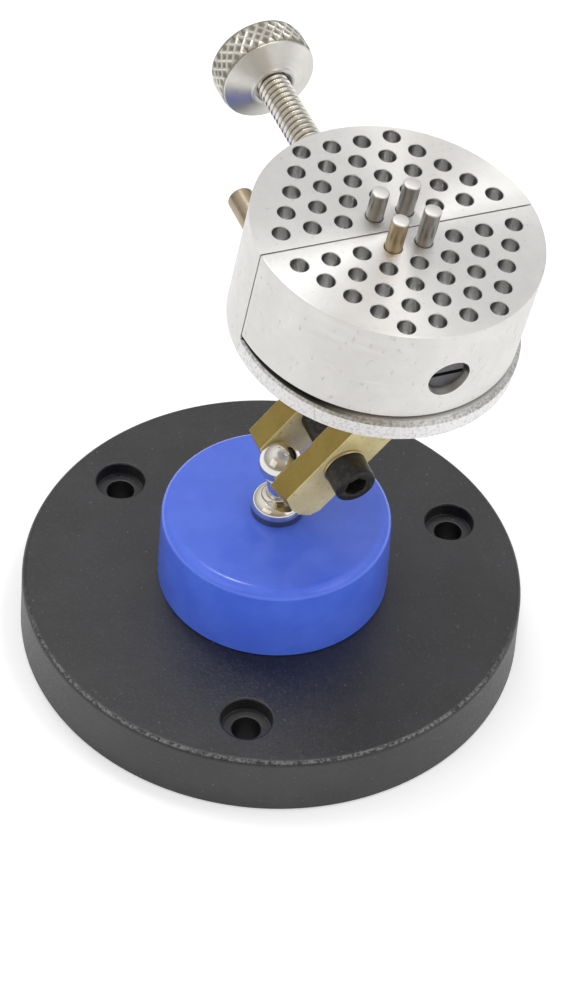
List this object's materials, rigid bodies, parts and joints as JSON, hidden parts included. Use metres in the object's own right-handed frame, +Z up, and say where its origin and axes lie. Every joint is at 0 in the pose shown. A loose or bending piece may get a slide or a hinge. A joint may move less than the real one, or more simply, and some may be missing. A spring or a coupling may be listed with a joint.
{
  "type": "ball vise",
  "caption": "Ball vise: weighted round base, swivelling ball stud, two-ball clamp arm and a round split head whose perforated jaws are opened by a knurled screw.",
  "frame": {"origin": "centre of the base plate's underside, on the bench", "axes": "+Z up along the swivel axis, +Y away from the picture's camera, +X to its right"},
  "size_m": [0.1008, 0.11, 0.1097],
  "materials": {
    "black_iron": "black textured coat, matt",
    "blue_plastic": "satin to glossy blue",
    "bush_steel": "turned",
    "chrome": "polished plating",
    "zinc_steel": "zinc plated",
    "brass": "milled, slightly dull",
    "black_screw": "black oxide steel",
    "jaw_steel": "fine ground, bright",
    "rod_steel": "ground, warm tint",
    "thread_steel": "plated thread",
    "knob_steel": "turned and diamond knurled",
    "pin_steel": "plain bright pin"
  },
  "bodies": {
    "base": {"base_plate": "black_iron", "hub_cover": "blue_plastic", "hub_core": "bush_steel"},
    "stud": {"ball_stud": "chrome", "stud_washer": "zinc_steel", "stud_nut": "zinc_steel"},
    "arm": {"clamp_plate_near": "brass", "clamp_plate_far": "brass", "clamp_washer": "zinc_steel", "clamp_sleeve": "black_screw"},
    "clamp": {"clamp_screw": "black_screw"},
    "pivot": {"head_stud": "chrome", "stud_clip": "zinc_steel"},
    "head": {"fixed_jaw": "jaw_steel"},
    "slider": {"moving_jaw": "jaw_steel", "guide_rod_left": "rod_steel", "guide_rod_right": "rod_steel", "rod_grub_left": "black_screw", "rod_grub_right": "black_screw"},
    "drive": {"lead_screw": "thread_steel", "retaining_screw": "zinc_steel", "knob": "knob_steel", "knob_grub": "black_screw"},
    "pin_far_left": {"work_pin_far_left": "pin_steel"},
    "pin_far_right": {"work_pin_far_right": "pin_steel"},
    "pin_near_right": {"work_pin_near_right": "pin_steel"},
    "pin_near_left": {"work_pin_near_left": "pin_steel"}
  },
  "joints": [
    {"name": "swivel", "type": "hinge", "parent": "base", "child": "stud", "pos_m": [0, 0, 0.04336], "axis": [0, 0, 1], "continuous": true},
    {"name": "arm_tilt", "type": "hinge", "parent": "stud", "child": "arm", "pos_m": [0, 0, 0.04336], "axis": [-0.4542, 0.8836, 0.1136], "range_deg": [-50, 25]},
    {"name": "clamp_turn", "type": "hinge", "parent": "arm", "child": "clamp", "pos_m": [0.00795, 0.00324, 0.04994], "axis": [0.4542, -0.8836, -0.1136], "range_deg": [0, 180]},
    {"name": "head_tilt", "type": "hinge", "parent": "arm", "child": "pivot", "pos_m": [0.01245, 0.0043, 0.05972], "axis": [-0.4542, 0.8836, 0.1136], "range_deg": [-25, 25]},
    {"name": "head_spin", "type": "hinge", "parent": "pivot", "child": "head", "pos_m": [0.01245, 0.0043, 0.05972], "axis": [0.1288, -0.0611, 0.9898], "continuous": true},
    {"name": "jaw_slide", "type": "slide", "parent": "head", "child": "slider", "axis": [0.4542, -0.8836, -0.1136], "range_m": [0, 0.018]},
    {"name": "screw_turn", "type": "hinge", "parent": "slider", "child": "drive", "pos_m": [0.01656, 0.00235, 0.09129], "axis": [0.4542, -0.8836, -0.1136], "range_deg": [0, 5104]},
    {"name": "lift_far_left", "type": "slide", "parent": "head", "child": "pin_far_left", "axis": [0.1288, -0.0611, 0.9898], "range_m": [0, 0.012]},
    {"name": "lift_far_right", "type": "slide", "parent": "head", "child": "pin_far_right", "axis": [0.1288, -0.0611, 0.9898], "range_m": [0, 0.012]},
    {"name": "lift_near_right", "type": "slide", "parent": "slider", "child": "pin_near_right", "axis": [0.1288, -0.0611, 0.9898], "range_m": [0, 0.012]},
    {"name": "lift_near_left", "type": "slide", "parent": "slider", "child": "pin_near_left", "axis": [0.1288, -0.0611, 0.9898], "range_m": [0, 0.012]}
  ],
  "couplings": [
    {"joint": "screw_turn", "follows": "jaw_slide", "rad_per_m": 4947.4}
  ]
}
